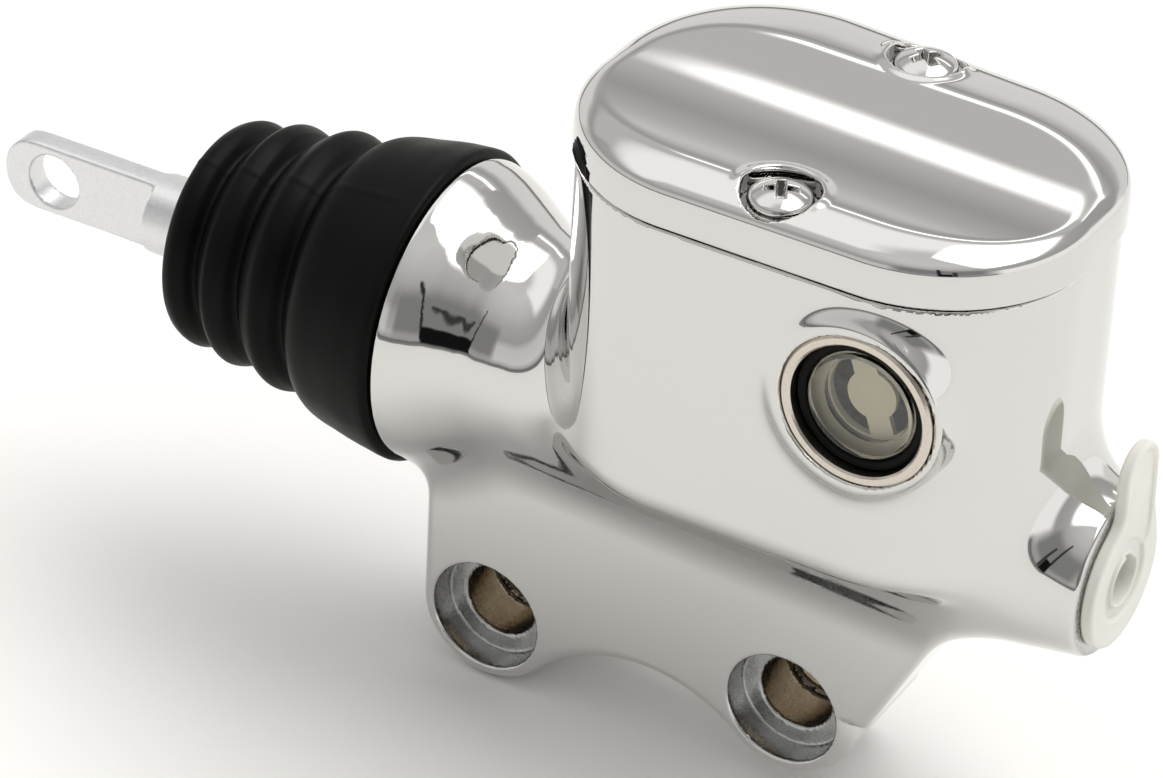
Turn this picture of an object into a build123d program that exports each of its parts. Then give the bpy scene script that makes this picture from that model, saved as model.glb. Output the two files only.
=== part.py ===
"""Brake master cylinder for a motorcycle's rear brake, with its fluid reservoir cast on top.

Frame: X runs along the bore towards the fluid outlet, +Z is up, and the origin is the middle of
the two mounting holes on the flat mounting face (the XZ plane).  Millimetres.
"""
import math
import os

from build123d import *

os.makedirs("parts", exist_ok=True)

# ---- driving dimensions -------------------------------------------------------------------
# mounting plate
HOLE_SPACING = 44.45          # centre to centre
HOLE_TILT = 4.8               # the hole line rises towards the outlet, degrees
HOLE_R = 5.15                 # sleeve outside fit in the plate
COUNTERBORE_R = 8.1
COUNTERBORE_DEPTH = 4.2
EAR_R = 10.0
ARCH_R = 21.5                 # underside between the ears
SLANT = 63.5                  # right edge of the plate, degrees from level
PLATE_T = 22.0                # mounting face to front face
SLEEVE_WALL = 0.65

# cylinder bore
BORE_Y = -14.0
BORE_Z = 36.9
BORE_R = 7.9375               # five-eighths of an inch across
BELL_X = -33.6                # rim that the boot butts against
BELL_R = 20.5
NECK_R = 14.2
OUTLET_X = 62.2               # machined end face
OUTLET_R = 11.5
SPIGOT_X = -40.0
SPIGOT_R = 17.4
MOUTH_R = 11.0
GROOVE_X = -18.8              # snap ring's groove
GROOVE_W = 1.4
GROOVE_DEPTH = 1.1
SEAT_X = -15.7                # shoulder that the stop washer rests on
BORE_END_X = 50.4
PORT_R = 4.95                 # tapping size of 7/16-24
PORT_DEPTH = 9.2
SUPPLY_PORT = (14.0, 2.0)     # place along the bore, and radius
RETURN_PORT = (31.6, 0.6)

# reservoir
TUB_X = 21.9
TUB_L = 67.0
TUB_W = 47.6
TUB_CORNER = 20.6
TUB_BOTTOM = 35.1
TUB_TOP = 78.2
TUB_WALL = 3.6
CAVITY_FLOOR = 49.5
GASKET_T = 0.8
LID_L = 68.2
LID_W = 48.4
LID_CORNER = 21.2
LID_BAND = 4.0                # plain upright band of the lid's side
LID_RISE = 7.2                # crest above the lid's underside
DISH_DEPTH = 0.9
LID_HOLLOW = 3.0              # depth of the air space in the lid's underside
POCKET_FLOOR = 4.4            # screw pocket's floor above the lid's underside
SCREW_Y = 18.4                # each side of the reservoir's middle
SCREW_R = 2.08                # number 8 thread
SCREW_HEAD_R = 4.1
SCREW_HEAD_H = 2.8
SCREW_LENGTH = 17.0
SCREW_POCKET_R = 4.9

# sight glass
GLASS_X = 37.1
GLASS_Z = 63.4
GLASS_FACE_Y = BORE_Y - 24.9
BEZEL_R = 10.2
BEZEL_IN_R = 8.85
GLASS_BOSS_R = 10.9
LENS_R = 7.2                  # clear face inside the black seal
RECESS_R = 5.9                # hollow in the lens's back
WINDOW_R = 5.6                # curved windows in the reflector: outer radius and width
WINDOW_W = 2.3
TIE_LEAN = 20

# push rod and its eye
EYE_X = -95.1
EYE_R = 3.97                  # five-sixteenths clevis pin
EYE_TIP = 8.2                 # pin centre to the bar's end
BAR_H = 10.4
BAR_T = 3.6
ROD_R = 5.5
SHANK_R = 5.0                 # rod where it runs inside the bore
SHANK_X = -41.0               # where the rod steps down to it
BALL_R = 4.6
BALL_X = -11.2
FLANGE_R = 6.8                # flange that the stop washer holds back
FLAT_END_X = -80.0            # where the flat bar meets the round rod
BOOT_TIP_X = -70.3

LID_Z = TUB_TOP + GASKET_T    # underside of the lid
CREST_Z = LID_Z + LID_RISE
GLASS_Y_IN = BORE_Y - 18.0    # bottom of the sight-glass pocket

# planes that the sketches stand on
AXIAL = Plane(origin=(0, BORE_Y, BORE_Z), x_dir=(1, 0, 0), z_dir=(0, -1, 0))
BORE_AXIS = Axis((0, BORE_Y, BORE_Z), (1, 0, 0))
GLASS_AXIS = Axis((GLASS_X, 0, GLASS_Z), (0, 1, 0))
# local x runs backwards from the sight glass's front face and local y outwards from its axis
GLASS_HALF = Plane(origin=(GLASS_X, GLASS_FACE_Y, GLASS_Z), x_dir=(0, 1, 0), z_dir=(1, 0, 0))


def facing(y):
    """Plane that looks to the front (-Y) from depth y, local axes X and Z."""
    return Plane(origin=(0, y, 0), x_dir=(1, 0, 0), z_dir=(0, -1, 0))


def across(x):
    """Plane square to the bore at x, centred on the bore."""
    return Plane(origin=(x, BORE_Y, BORE_Z), x_dir=(0, 1, 0), z_dir=(1, 0, 0))


def level(z):
    """Plane centred on the reservoir at height z."""
    return Plane(origin=(TUB_X, BORE_Y, z), x_dir=(1, 0, 0), z_dir=(0, 0, 1))


hole_dx = HOLE_SPACING / 2 * math.cos(math.radians(HOLE_TILT))
hole_dz = HOLE_SPACING / 2 * math.sin(math.radians(HOLE_TILT))
HOLES = [(-hole_dx, -hole_dz), (hole_dx, hole_dz)]
arch_drop = math.sqrt((ARCH_R + EAR_R) ** 2 - (HOLE_SPACING / 2) ** 2)
ARCH = (arch_drop * math.sin(math.radians(HOLE_TILT)), -arch_drop * math.cos(math.radians(HOLE_TILT)))
SLANT_DX = math.cos(math.radians(SLANT))
SLANT_DZ = math.sin(math.radians(SLANT))


def towards(centre, target, distance):
    """Point at a distance from a centre, on the line to a target."""
    dx, dz = target[0] - centre[0], target[1] - centre[1]
    reach = distance / math.hypot(dx, dz)
    return (centre[0] + dx * reach, centre[1] + dz * reach)


def halfway(centre, start, end, radius):
    """Middle of the shorter arc about a centre, between two of its points."""
    return towards(centre, ((start[0] + end[0]) / 2, (start[1] + end[1]) / 2), radius)


# ---- mounting plate, joined to the body below: two ears and an arch tangent to both --------
left_ear, right_ear = HOLES
left_side = (left_ear[0] - EAR_R, left_ear[1])
right_side = (right_ear[0] + EAR_R * SLANT_DZ, right_ear[1] - EAR_R * SLANT_DX)
arch_left = towards(left_ear, ARCH, EAR_R)
arch_right = towards(right_ear, ARCH, EAR_R)
with BuildPart() as plate:
    with BuildSketch(facing(0)):
        with BuildLine():
            Polyline(left_side, (left_side[0], 20.0), (-22.0, 30.0), (44.0, 34.0), (50.0, 30.0),
                     (48.0, 24.6))
            ThreePointArc((48.0, 24.6), (44.0, 22.2), (41.5, 18.3))
            Line((41.5, 18.3), right_side)
            ThreePointArc(right_side, halfway(right_ear, right_side, arch_right, EAR_R), arch_right)
            ThreePointArc(arch_right, halfway(ARCH, arch_right, arch_left, ARCH_R), arch_left)
            ThreePointArc(arch_left, halfway(left_ear, arch_left, left_side, EAR_R), left_side)
        make_face()
    extrude(amount=PLATE_T)
    fillet(plate.faces().sort_by(Axis.Y)[0].edges(), 1.6)

# ---- body: one casting, chromed ----------------------------------------------------------
with BuildPart() as body:
    # reservoir tub
    with BuildSketch(level(TUB_BOTTOM)):
        RectangleRounded(TUB_L, TUB_W, TUB_CORNER)
    extrude(amount=TUB_TOP - TUB_BOTTOM)
    fillet(body.faces().sort_by(Axis.Z)[0].edges(), 5.0)
    # cylinder housing: spigot for the boot, bell, neck and outlet boss
    with BuildSketch(AXIAL):
        with BuildLine():
            Polyline((SPIGOT_X, 0), (SPIGOT_X, SPIGOT_R - 0.6), (SPIGOT_X + 0.6, SPIGOT_R),
                     (BELL_X, SPIGOT_R), (BELL_X, BELL_R - 0.5))
            Line((BELL_X, BELL_R - 0.5), (BELL_X + 0.5, BELL_R))
            Spline((BELL_X + 0.5, BELL_R), (-27.0, 19.5), (-20.0, 16.0), (-11.0, NECK_R),
                   tangents=((1, 0), (1, 0)))
            Line((-11.0, NECK_R), (34.0, NECK_R))
            Spline((34.0, NECK_R), (50.0, OUTLET_R + 0.4), tangents=((1, 0), (1, -0.02)))
            Polyline((50.0, OUTLET_R + 0.4), (OUTLET_X - 0.8, OUTLET_R), (OUTLET_X, OUTLET_R - 0.8),
                     (OUTLET_X, 0), (SPIGOT_X, 0))
        make_face()
    revolve(axis=BORE_AXIS)
    add(plate.part)
    # sight-glass boss
    with BuildSketch(facing(BORE_Y)):
        with Locations((GLASS_X, GLASS_Z)):
            Circle(GLASS_BOSS_R)
    extrude(amount=BORE_Y - GLASS_FACE_Y - 0.7)

    # reservoir cavity, leaving a post for each cover screw
    with BuildSketch(level(CAVITY_FLOOR)):
        RectangleRounded(TUB_L - 2 * TUB_WALL, TUB_W - 2 * TUB_WALL, TUB_CORNER - TUB_WALL)
        with Locations((0, -SCREW_Y - 2), (0, SCREW_Y + 2)):
            Rectangle(10.4, 9.0, mode=Mode.SUBTRACT)
    extrude(amount=TUB_TOP - CAVITY_FLOOR, mode=Mode.SUBTRACT)
    with BuildSketch(level(TUB_TOP)):
        with Locations((0, -SCREW_Y), (0, SCREW_Y)):
            Circle(SCREW_R)
    extrude(amount=-14.0, mode=Mode.SUBTRACT)
    # bore, stepped from its open mouth to the threaded outlet, with the snap ring's groove
    with BuildSketch(AXIAL):
        with BuildLine():
            Polyline((SPIGOT_X, 0), (SPIGOT_X, MOUTH_R + 2.6), (-27.0, MOUTH_R), (GROOVE_X, MOUTH_R),
                     (GROOVE_X, MOUTH_R + GROOVE_DEPTH), (GROOVE_X + GROOVE_W, MOUTH_R + GROOVE_DEPTH),
                     (GROOVE_X + GROOVE_W, MOUTH_R), (SEAT_X, MOUTH_R),
                     (SEAT_X, BORE_R), (BORE_END_X, BORE_R), (BORE_END_X, 1.5),
                     (OUTLET_X - PORT_DEPTH, 1.5), (OUTLET_X - PORT_DEPTH, PORT_R),
                     (OUTLET_X - 0.8, PORT_R), (OUTLET_X, PORT_R + 0.8), (OUTLET_X, 0), close=True)
        make_face()
    revolve(axis=BORE_AXIS, mode=Mode.SUBTRACT)
    # supply port and fine return port between reservoir and bore
    for port_x, port_r in (SUPPLY_PORT, RETURN_PORT):
        with BuildSketch(Plane.XY.offset(BORE_Z)):
            with Locations((port_x, BORE_Y)):
                Circle(port_r)
        extrude(amount=CAVITY_FLOOR - BORE_Z + 1, mode=Mode.SUBTRACT)
    # mounting holes, each with a wide shallow counterbore in front
    with BuildSketch(facing(0)):
        with Locations(*HOLES):
            Circle(HOLE_R)
    extrude(amount=PLATE_T + 1, mode=Mode.SUBTRACT)
    with BuildSketch(facing(-PLATE_T + COUNTERBORE_DEPTH)):
        with Locations(*HOLES):
            Circle(COUNTERBORE_R)
    extrude(amount=COUNTERBORE_DEPTH + 1, mode=Mode.SUBTRACT)
    # sight-glass pocket and its window into the reservoir
    with BuildSketch(facing(GLASS_Y_IN)):
        with Locations((GLASS_X, GLASS_Z)):
            Circle(BEZEL_R + 0.02)
    extrude(amount=10.0, mode=Mode.SUBTRACT)
    with BuildSketch(facing(GLASS_Y_IN + 6)):
        with Locations((GLASS_X, GLASS_Z)):
            Circle(6.5)
    extrude(amount=7.0, mode=Mode.SUBTRACT)
body.part.label = "body"
export_step(body.part, "parts/body.step")

# ---- cover: dished plate with a rolled rim -------------------------------------------------
with BuildPart() as cover:
    with BuildSketch(level(LID_Z)):
        RectangleRounded(LID_L, LID_W, LID_CORNER)
    extrude(amount=LID_RISE)
    fillet(cover.faces().sort_by(Axis.Z)[-1].edges(), LID_RISE - LID_BAND)
    # shallow dish in the top
    with BuildSketch(level(CREST_Z)):
        RectangleRounded(LID_L - 11, LID_W - 11, LID_CORNER - 5.5)
    extrude(amount=-DISH_DEPTH, taper=40, mode=Mode.SUBTRACT)
    # pocket for each screw head, and its clearance hole
    with BuildSketch(level(CREST_Z)):
        with Locations((0, -SCREW_Y), (0, SCREW_Y)):
            Circle(SCREW_POCKET_R)
    extrude(amount=-(LID_RISE - POCKET_FLOOR), mode=Mode.SUBTRACT)
    with BuildSketch(level(LID_Z)):
        with Locations((0, -SCREW_Y), (0, SCREW_Y)):
            Circle(SCREW_R + 0.25)
    extrude(amount=LID_RISE, mode=Mode.SUBTRACT)
    # hollow underside, where air stands above the diaphragm
    with BuildSketch(level(LID_Z)):
        RectangleRounded(LID_L - 12, LID_W - 12, LID_CORNER - 6)
        with Locations((0, -SCREW_Y), (0, SCREW_Y)):
            Rectangle(12.4, 12.4, mode=Mode.SUBTRACT)
    extrude(amount=LID_HOLLOW, mode=Mode.SUBTRACT)
cover.part.label = "cover"
export_step(cover.part, "parts/cover.step")

# ---- pan-head screws with a cross recess ---------------------------------------------------
HEAD_SEAT = LID_Z + POCKET_FLOOR + 0.02
with BuildPart() as cover_screws:
    for side in (-1, 1):
        with BuildSketch(level(HEAD_SEAT)):
            with Locations((0, side * SCREW_Y)):
                Circle(SCREW_HEAD_R)
        extrude(amount=SCREW_HEAD_H)
        with BuildSketch(level(HEAD_SEAT)):
            with Locations((0, side * SCREW_Y)):
                Circle(SCREW_R - 0.08)
        extrude(amount=-SCREW_LENGTH)
    fillet(cover_screws.edges().group_by(Axis.Z)[-1], 1.6)
    with BuildSketch(level(HEAD_SEAT + SCREW_HEAD_H)):
        with Locations((0, -SCREW_Y), (0, SCREW_Y)):
            Rectangle(4.6, 1.0, rotation=35)
            Rectangle(4.6, 1.0, rotation=125)
    extrude(amount=-1.7, taper=12, mode=Mode.SUBTRACT)
cover_screws.part.label = "cover_screws"
export_step(cover_screws.part, "parts/cover_screws.step")

# ---- rubber diaphragm: flat flange with a cup that hangs in the reservoir ------------------
with BuildPart() as cover_diaphragm:
    with BuildSketch(level(TUB_TOP)):
        RectangleRounded(TUB_L - 1.6, TUB_W - 1.6, TUB_CORNER - 0.8)
        with Locations((0, -SCREW_Y), (0, SCREW_Y)):
            Circle(SCREW_R + 0.4, mode=Mode.SUBTRACT)
    extrude(amount=GASKET_T)
    with BuildSketch(level(TUB_TOP)):
        RectangleRounded(54.0, 30.4, 12.0)
    extrude(amount=-7.0)
    with BuildSketch(level(LID_Z)):
        RectangleRounded(51.6, 28.0, 10.8)
    extrude(amount=-(7.0 + GASKET_T - 1.2), mode=Mode.SUBTRACT)
cover_diaphragm.part.label = "cover_diaphragm"
export_step(cover_diaphragm.part, "parts/cover_diaphragm.step")

# ---- anti-spurt plate over the two ports ---------------------------------------------------
with BuildPart() as port_shield:
    with BuildSketch(Plane.XY.offset(CAVITY_FLOOR + 0.02)):
        with Locations((22.8, BORE_Y)):
            Rectangle(28.0, 8.0)
    extrude(amount=3.0)
    with BuildSketch(facing(BORE_Y + 5)):
        with Locations((22.8, CAVITY_FLOOR + 1.2)):
            Rectangle(26.6, 2.42)
    extrude(amount=10.0, mode=Mode.SUBTRACT)
port_shield.part.label = "port_shield"
export_step(port_shield.part, "parts/port_shield.step")

# ---- sight glass: bezel, seal, stepped lens and reflector ----------------------------------
with BuildPart() as sight_glass_bezel:
    with BuildSketch(GLASS_HALF):
        with BuildLine():
            Polyline((0.3, BEZEL_R), (0, BEZEL_R - 0.3), (0, BEZEL_IN_R + 0.25), (0.25, BEZEL_IN_R),
                     (6.8, BEZEL_IN_R), (6.8, BEZEL_R), close=True)
        make_face()
    revolve(axis=GLASS_AXIS)
sight_glass_bezel.part.label = "sight_glass_bezel"
export_step(sight_glass_bezel.part, "parts/sight_glass_bezel.step")

with BuildPart() as sight_glass_seal:
    with BuildSketch(GLASS_HALF):
        with Locations((2.4, (LENS_R + BEZEL_IN_R) / 2)):
            RectangleRounded(2.0, BEZEL_IN_R - LENS_R - 0.15, 0.6)
    revolve(axis=GLASS_AXIS)
sight_glass_seal.part.label = "sight_glass_seal"
export_step(sight_glass_seal.part, "parts/sight_glass_seal.step")

with BuildPart() as sight_glass_lens:
    with BuildSketch(GLASS_HALF):
        with BuildLine():
            Polyline((1.0, 0), (1.0, LENS_R - 0.5), (1.3, LENS_R - 0.2), (2.0, LENS_R - 0.2), (2.0, LENS_R),
                     (3.45, LENS_R), (3.45, BEZEL_IN_R - 0.05), (5.8, BEZEL_IN_R - 0.05), (5.8, RECESS_R),
                     (4.6, RECESS_R - 0.2), (4.6, 0), close=True)
        make_face()
    revolve(axis=GLASS_AXIS)
sight_glass_lens.part.label = "sight_glass_lens"
export_step(sight_glass_lens.part, "parts/sight_glass_lens.step")

with BuildPart() as sight_glass_reflector:
    with BuildSketch(facing(GLASS_FACE_Y + 6.75)):
        with Locations((GLASS_X, GLASS_Z)):
            Circle(BEZEL_IN_R - 0.1)
            # two curved windows to either side of a leaning bow tie
            Circle(WINDOW_R, mode=Mode.SUBTRACT)
            Circle(WINDOW_R - WINDOW_W)
            Rectangle(3.2, 2 * WINDOW_R + 0.4, rotation=TIE_LEAN)
    extrude(amount=0.85)
sight_glass_reflector.part.label = "sight_glass_reflector"
export_step(sight_glass_reflector.part, "parts/sight_glass_reflector.step")

# ---- rubber boot: three convolutions and a collar over the spigot --------------------------
OUTER = [(-69.9, 12.4), (-69.0, 14.6), (-67.4, 15.5), (-65.6, 14.9), (-64.2, 13.5),
         (-62.9, 15.4), (-61.0, 16.6), (-59.0, 15.8), (-57.3, 14.3), (-55.4, 16.6),
         (-53.0, 17.7), (-51.0, 16.9), (-49.4, 15.7), (-47.2, 18.2)]
RUBBER_T = 1.5
with BuildPart() as boot:
    with BuildSketch(AXIAL):
        with BuildLine():
            Line((BOOT_TIP_X, ROD_R + 0.02), (BOOT_TIP_X, 10.6))
            Line((BOOT_TIP_X, 10.6), OUTER[0])
            Spline(*OUTER)
            Polyline(OUTER[-1], (-45.6, 19.6), (BELL_X - 1.8, 21.2),
                     (BELL_X - 0.5, 20.9), (BELL_X - 0.02, 20.3), (BELL_X - 0.02, SPIGOT_R + 0.02),
                     (SPIGOT_X - 0.2, SPIGOT_R + 0.02), (SPIGOT_X - 0.2, SPIGOT_R - 1.4),
                     (-46.0, SPIGOT_R - 1.0))
            Spline((-46.0, SPIGOT_R - 1.0),
                   *[(x, r - RUBBER_T) for x, r in reversed(OUTER[3:-1])],
                   (-67.6, 13.6), (-68.4, 11.0))
            Polyline((-68.4, 11.0), (-68.4, ROD_R + 0.02), (BOOT_TIP_X, ROD_R + 0.02))
        make_face()
    revolve(axis=BORE_AXIS)
boot.part.label = "boot"
export_step(boot.part, "parts/boot.step")

# ---- push rod: flat eye, round shank, retaining flange and ball end ------------------------
with BuildPart() as pushrod:
    with BuildSketch(AXIAL):
        with BuildLine():
            Polyline((FLAT_END_X - 1.2, 0), (FLAT_END_X - 1.2, BAR_T / 2 - 0.3), (FLAT_END_X + 1, ROD_R),
                     (SHANK_X - 0.5, ROD_R), (SHANK_X, SHANK_R), (-15.5, SHANK_R), (-15.5, FLANGE_R),
                     (-14.3, FLANGE_R), (-14.3, 3.6), (BALL_X, 3.6), (BALL_X, 0), close=True)
        make_face()
    revolve(axis=BORE_AXIS)
    with Locations((BALL_X, BORE_Y, BORE_Z)):
        Sphere(BALL_R)
    tip_x = EYE_X - EYE_TIP + BAR_H / 2
    with BuildSketch(facing(BORE_Y + BAR_T / 2)):
        with Locations((tip_x, BORE_Z)):
            Circle(BAR_H / 2)
        with Locations(((tip_x + FLAT_END_X) / 2, BORE_Z)):
            Rectangle(FLAT_END_X - tip_x, BAR_H)
    extrude(amount=BAR_T)
    with BuildSketch(facing(BORE_Y + BAR_T)):
        with Locations((EYE_X, BORE_Z)):
            Circle(EYE_R)
    extrude(amount=2 * BAR_T, mode=Mode.SUBTRACT)
pushrod.part.label = "pushrod"
export_step(pushrod.part, "parts/pushrod.step")

# ---- what keeps the rod and piston in the bore ---------------------------------------------
with BuildPart() as stop_washer:
    with BuildSketch(across(SEAT_X - 0.02)):
        Circle(MOUTH_R - 0.1)
        Circle(5.9, mode=Mode.SUBTRACT)
    extrude(amount=-1.6)
stop_washer.part.label = "stop_washer"
export_step(stop_washer.part, "parts/stop_washer.step")

with BuildPart() as snap_ring:
    with BuildSketch(across(-17.45)):
        Circle(MOUTH_R + 1.0)
        with Locations((0, 0.5)):
            Circle(MOUTH_R - 1.4, mode=Mode.SUBTRACT)
        with Locations((-3.4, -9.0), (3.4, -9.0)):
            Circle(1.7)
        with Locations((0, -MOUTH_R)):
            Rectangle(4.0, 8.0, mode=Mode.SUBTRACT)
        with Locations((-3.4, -9.0), (3.4, -9.0)):
            Circle(0.7, mode=Mode.SUBTRACT)
    extrude(amount=-1.3)
snap_ring.part.label = "snap_ring"
export_step(snap_ring.part, "parts/snap_ring.step")

# ---- piston and its seals ------------------------------------------------------------------
PISTON_R = BORE_R - 0.06
CUP_R = BORE_R - 0.04
with BuildPart() as piston:
    with BuildSketch(AXIAL):
        with BuildLine():
            Polyline((-15.6, 7.1), (-15.6, PISTON_R), (-9.0, PISTON_R), (-9.0, 5.6), (-5.5, 5.6),
                     (-5.5, PISTON_R), (-2.0, PISTON_R), (-1.0, 5.2), (24.5, 5.2), (24.5, PISTON_R),
                     (27.0, PISTON_R), (27.0, 4.2), (33.4, 4.2), (33.4, 0), (BALL_X + BALL_R + 0.05, 0))
            RadiusArc((BALL_X + BALL_R + 0.05, 0), (BALL_X, BALL_R + 0.05), -(BALL_R + 0.05))
            Polyline((BALL_X, BALL_R + 0.05), (BALL_X - 2.3, BALL_R + 0.05), (BALL_X - 2.3, 7.1),
                     (-15.6, 7.1))
        make_face()
    revolve(axis=BORE_AXIS)
piston.part.label = "piston"
export_step(piston.part, "parts/piston.step")

with BuildPart() as secondary_cup:
    with BuildSketch(AXIAL):
        with BuildLine():
            Polyline((-8.9, 5.65), (-8.9, CUP_R - 0.7), (-8.2, CUP_R - 0.3), (-5.6, CUP_R),
                     (-5.6, CUP_R - 0.8), (-7.0, CUP_R - 1.2), (-5.6, 6.2), (-5.6, 5.65), close=True)
        make_face()
    revolve(axis=BORE_AXIS)
secondary_cup.part.label = "secondary_cup"
export_step(secondary_cup.part, "parts/secondary_cup.step")

with BuildPart() as cup_shim:
    with BuildSketch(across(27.02)):
        Circle(BORE_R - 0.3)
        Circle(4.25, mode=Mode.SUBTRACT)
    extrude(amount=0.3)
cup_shim.part.label = "cup_shim"
export_step(cup_shim.part, "parts/cup_shim.step")

with BuildPart() as primary_cup:
    with BuildSketch(AXIAL):
        with BuildLine():
            Polyline((27.35, 4.25), (27.35, CUP_R - 0.5), (30.9, CUP_R), (30.9, CUP_R - 0.8),
                     (28.8, CUP_R - 1.3), (28.8, 5.4), (30.9, 5.1), (30.9, 4.25), close=True)
        make_face()
    revolve(axis=BORE_AXIS)
primary_cup.part.label = "primary_cup"
export_step(primary_cup.part, "parts/primary_cup.step")

with BuildPart() as spring_retainer:
    with BuildSketch(across(31.5)):
        Circle(6.6)
        Circle(4.22, mode=Mode.SUBTRACT)
    extrude(amount=0.8)
    with BuildSketch(across(32.3)):
        Circle(4.7)
        Circle(4.22, mode=Mode.SUBTRACT)
    extrude(amount=1.0)
spring_retainer.part.label = "spring_retainer"
export_step(spring_retainer.part, "parts/spring_retainer.step")

# ---- return spring -------------------------------------------------------------------------
WIRE_R = 0.55
SPRING_START = 32.32 + WIRE_R
SPRING_LENGTH = BORE_END_X - 0.02 - WIRE_R - SPRING_START
with BuildPart() as return_spring:
    with BuildLine():
        coil = Helix(SPRING_LENGTH / 4.5, SPRING_LENGTH, 5.5,
                     center=(SPRING_START, BORE_Y, BORE_Z), direction=(1, 0, 0))
    with BuildSketch(Plane(origin=coil @ 0, z_dir=coil % 0)):
        Circle(WIRE_R)
    sweep(path=coil)
return_spring.part.label = "return_spring"
export_step(return_spring.part, "parts/return_spring.step")

# ---- steel sleeves pressed into the back of the mounting holes -----------------------------
with BuildPart() as mount_sleeves:
    with BuildSketch(facing(0)):
        with Locations(*HOLES):
            Circle(HOLE_R - 0.02)
            Circle(HOLE_R - SLEEVE_WALL, mode=Mode.SUBTRACT)
    extrude(amount=9.5)
mount_sleeves.part.label = "mount_sleeves"
export_step(mount_sleeves.part, "parts/mount_sleeves.step")

# ---- soft plastic shipping plug with a pull tab --------------------------------------------
PLUG_R = 9.2
PLUG_T = 1.7
with BuildPart() as outlet_plug:
    with BuildSketch(across(OUTLET_X + 0.05)):
        Circle(PLUG_R)
        with Locations((1.9, 8.8)):
            SlotOverall(16.4, 8.8, rotation=90)
    extrude(amount=PLUG_T)
    with BuildSketch(across(OUTLET_X + 0.05 + PLUG_T)):
        Circle(5.4)
        Circle(4.0, mode=Mode.SUBTRACT)
    extrude(amount=-0.6, mode=Mode.SUBTRACT)
    with BuildSketch(across(OUTLET_X + 0.05)):
        Circle(PORT_R - 0.1)
    extrude(amount=-6.5)
    with BuildSketch(across(OUTLET_X + 0.05 + PLUG_T)):
        Circle(3.2)
    extrude(amount=-6.8, mode=Mode.SUBTRACT)
outlet_plug.part.label = "outlet_plug"
export_step(outlet_plug.part, "parts/outlet_plug.step")
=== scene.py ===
"""Looks of the brake master cylinder: chromed casting and cover, rubber boot, sight glass, rod.

The cast and moulded shapes are signed distance fields in millimetres, meshed on a grid and then
pulled exactly onto the surface, so that the fillets of the polished casting are smooth.
"""
import math

import bpy
import numpy as np
from mathutils import Matrix, Vector


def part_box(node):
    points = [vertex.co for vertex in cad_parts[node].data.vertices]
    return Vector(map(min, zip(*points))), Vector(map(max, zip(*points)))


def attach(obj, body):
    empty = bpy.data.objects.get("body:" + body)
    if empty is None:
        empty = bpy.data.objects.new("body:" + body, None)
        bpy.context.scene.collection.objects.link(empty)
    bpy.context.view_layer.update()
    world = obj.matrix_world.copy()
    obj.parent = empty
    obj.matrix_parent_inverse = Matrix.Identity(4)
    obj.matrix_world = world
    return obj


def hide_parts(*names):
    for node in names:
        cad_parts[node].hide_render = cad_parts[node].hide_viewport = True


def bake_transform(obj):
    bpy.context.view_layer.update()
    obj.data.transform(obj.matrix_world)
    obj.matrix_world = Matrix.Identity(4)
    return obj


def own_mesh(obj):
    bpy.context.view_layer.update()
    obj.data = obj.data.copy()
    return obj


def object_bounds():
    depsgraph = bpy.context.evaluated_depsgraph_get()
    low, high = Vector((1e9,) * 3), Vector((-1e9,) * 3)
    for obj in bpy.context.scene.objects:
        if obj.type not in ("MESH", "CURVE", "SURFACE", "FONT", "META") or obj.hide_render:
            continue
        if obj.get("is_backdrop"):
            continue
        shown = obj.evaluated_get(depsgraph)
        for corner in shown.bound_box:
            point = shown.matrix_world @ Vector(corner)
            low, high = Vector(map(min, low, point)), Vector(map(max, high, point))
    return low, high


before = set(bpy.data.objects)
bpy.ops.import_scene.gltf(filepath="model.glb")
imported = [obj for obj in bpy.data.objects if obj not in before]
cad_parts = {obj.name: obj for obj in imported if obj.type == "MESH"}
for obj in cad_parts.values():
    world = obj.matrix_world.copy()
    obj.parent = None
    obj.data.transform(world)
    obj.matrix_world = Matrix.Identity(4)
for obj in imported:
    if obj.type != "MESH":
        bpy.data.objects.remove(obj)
cad_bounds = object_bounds()

MM = 0.001


def span(node):
    """Lowest and highest corner of a CAD node, in millimetres."""
    low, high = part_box(node)
    return np.array(low) / MM, np.array(high) / MM


# ---- places that come from the frame -----------------------------------------------------------
BODY_LOW, BODY_HIGH = span("body")
LID_LOW, LID_HIGH = span("cover")
PISTON_LOW, PISTON_HIGH = span("piston")
BOOT_LOW = span("boot")[0]
ROD_LOW, ROD_HIGH = span("pushrod")
BEZEL_LOW, BEZEL_HIGH = span("sight_glass_bezel")
SLEEVE_LOW, SLEEVE_HIGH = span("mount_sleeves")
SPRING_LOW, SPRING_HIGH = span("return_spring")
PLUG_LOW, PLUG_HIGH = span("outlet_plug")
SCREW_LOW, SCREW_HIGH = span("cover_screws")

BORE_Y, BORE_Z = (PISTON_LOW + PISTON_HIGH)[1:] / 2
TUB_X = (LID_LOW[0] + LID_HIGH[0]) / 2
TUB_Y = (LID_LOW[1] + LID_HIGH[1]) / 2
SLEEVE_R = 5.13
HOLES = [(SLEEVE_LOW[0] + SLEEVE_R, SLEEVE_LOW[2] + SLEEVE_R),
         (SLEEVE_HIGH[0] - SLEEVE_R, SLEEVE_HIGH[2] - SLEEVE_R)]
GLASS_X, GLASS_Z = (BEZEL_LOW[0] + BEZEL_HIGH[0]) / 2, (BEZEL_LOW[2] + BEZEL_HIGH[2]) / 2
GLASS_FRONT, GLASS_BACK = BEZEL_LOW[1], BEZEL_HIGH[1]
SCREW_HEAD_R, SCREW_R, SCREW_HOLE_DEPTH = 4.1, 2.0, 14
SCREW_YS = (SCREW_LOW[1] + SCREW_HEAD_R, SCREW_HIGH[1] - SCREW_HEAD_R)
SCREW_TOP = SCREW_HIGH[2]

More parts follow.
